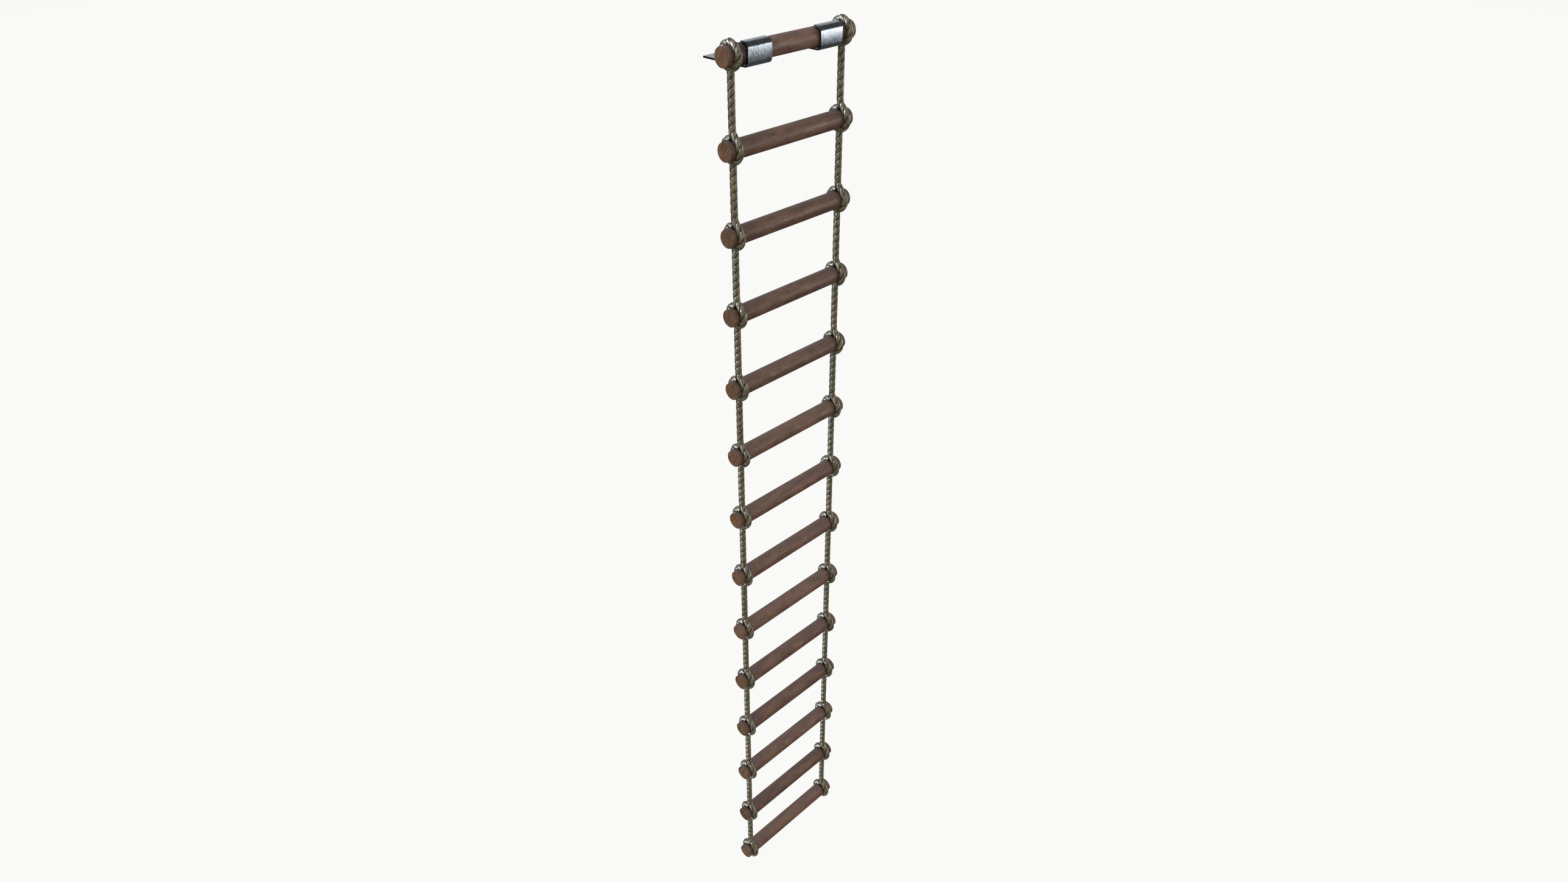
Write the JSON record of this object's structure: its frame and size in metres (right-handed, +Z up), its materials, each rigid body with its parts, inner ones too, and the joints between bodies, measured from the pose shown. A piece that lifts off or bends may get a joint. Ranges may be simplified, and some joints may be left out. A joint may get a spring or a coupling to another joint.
{
  "type": "escape rope ladder",
  "caption": "Escape rope ladder: round wooden rungs on two twisted side ropes, hung from a wooden top bar with two flat bent-steel hooks.",
  "frame": {"origin": "on the plane of the two hook tongues' undersides, midway between the hooks, straight below the top bar's axis", "axes": "+X along the bars, from the left hook to the right hook; +Y from the climber's side to the building's side, the way the tongues point; +Z up"},
  "size_m": [0.45, 0.1678, 2.9906],
  "materials": {
    "wood": "dark stained hardwood, satin",
    "rope": "olive three-strand twisted fibre rope",
    "steel": "worn brushed strip with dark bends and edges",
    "screw_steel": "plain countersunk screws"
  },
  "bodies": {
    "top": {"top_bar": "wood", "left_hook": "steel", "right_hook": "steel", "hook_screws": "screw_steel", "left_rope_00": "rope", "right_rope_00": "rope"},
    "step_01": {"rung_01": "wood", "left_rope_01": "rope", "right_rope_01": "rope"},
    "step_02": {"rung_02": "wood", "left_rope_02": "rope", "right_rope_02": "rope"},
    "step_03": {"rung_03": "wood", "left_rope_03": "rope", "right_rope_03": "rope"},
    "step_04": {"rung_04": "wood", "left_rope_04": "rope", "right_rope_04": "rope"},
    "step_05": {"rung_05": "wood", "left_rope_05": "rope", "right_rope_05": "rope"},
    "step_06": {"rung_06": "wood", "left_rope_06": "rope", "right_rope_06": "rope"},
    "step_07": {"rung_07": "wood", "left_rope_07": "rope", "right_rope_07": "rope"},
    "step_08": {"rung_08": "wood", "left_rope_08": "rope", "right_rope_08": "rope"},
    "step_09": {"rung_09": "wood", "left_rope_09": "rope", "right_rope_09": "rope"},
    "step_10": {"rung_10": "wood", "left_rope_10": "rope", "right_rope_10": "rope"},
    "step_11": {"rung_11": "wood", "left_rope_11": "rope", "right_rope_11": "rope"},
    "step_12": {"rung_12": "wood", "left_rope_12": "rope", "right_rope_12": "rope"},
    "step_13": {"rung_13": "wood", "left_rope_13": "rope", "right_rope_13": "rope"}
  },
  "joints": [
    {"name": "swing_01", "type": "hinge", "parent": "top", "child": "step_01", "pos_m": [0, 0, 0.0301], "axis": [-1, 0, 0], "range_deg": [-90, 150]},
    {"name": "swing_02", "type": "hinge", "parent": "step_01", "child": "step_02", "pos_m": [0, 0, -0.1949], "axis": [1, 0, 0], "range_deg": [-150, 135]},
    {"name": "swing_03", "type": "hinge", "parent": "step_02", "child": "step_03", "pos_m": [0, 0, -0.4199], "axis": [-1, 0, 0], "range_deg": [-150, 150]},
    {"name": "swing_04", "type": "hinge", "parent": "step_03", "child": "step_04", "pos_m": [0, 0, -0.6449], "axis": [1, 0, 0], "range_deg": [-150, 150]},
    {"name": "swing_05", "type": "hinge", "parent": "step_04", "child": "step_05", "pos_m": [0, 0, -0.8699], "axis": [-1, 0, 0], "range_deg": [-150, 150]},
    {"name": "swing_06", "type": "hinge", "parent": "step_05", "child": "step_06", "pos_m": [0, 0, -1.0949], "axis": [1, 0, 0], "range_deg": [-150, 150]},
    {"name": "swing_07", "type": "hinge", "parent": "step_06", "child": "step_07", "pos_m": [0, 0, -1.3199], "axis": [-1, 0, 0], "range_deg": [-150, 150]},
    {"name": "swing_08", "type": "hinge", "parent": "step_07", "child": "step_08", "pos_m": [0, 0, -1.5449], "axis": [1, 0, 0], "range_deg": [-150, 150]},
    {"name": "swing_09", "type": "hinge", "parent": "step_08", "child": "step_09", "pos_m": [0, 0, -1.7699], "axis": [-1, 0, 0], "range_deg": [-150, 150]},
    {"name": "swing_10", "type": "hinge", "parent": "step_09", "child": "step_10", "pos_m": [0, 0, -1.9949], "axis": [1, 0, 0], "range_deg": [-150, 150]},
    {"name": "swing_11", "type": "hinge", "parent": "step_10", "child": "step_11", "pos_m": [0, 0, -2.2199], "axis": [-1, 0, 0], "range_deg": [-150, 150]},
    {"name": "swing_12", "type": "hinge", "parent": "step_11", "child": "step_12", "pos_m": [0, 0, -2.4449], "axis": [1, 0, 0], "range_deg": [-150, 150]},
    {"name": "swing_13", "type": "hinge", "parent": "step_12", "child": "step_13", "pos_m": [0, 0, -2.6699], "axis": [-1, 0, 0], "range_deg": [-150, 150]}
  ]
}
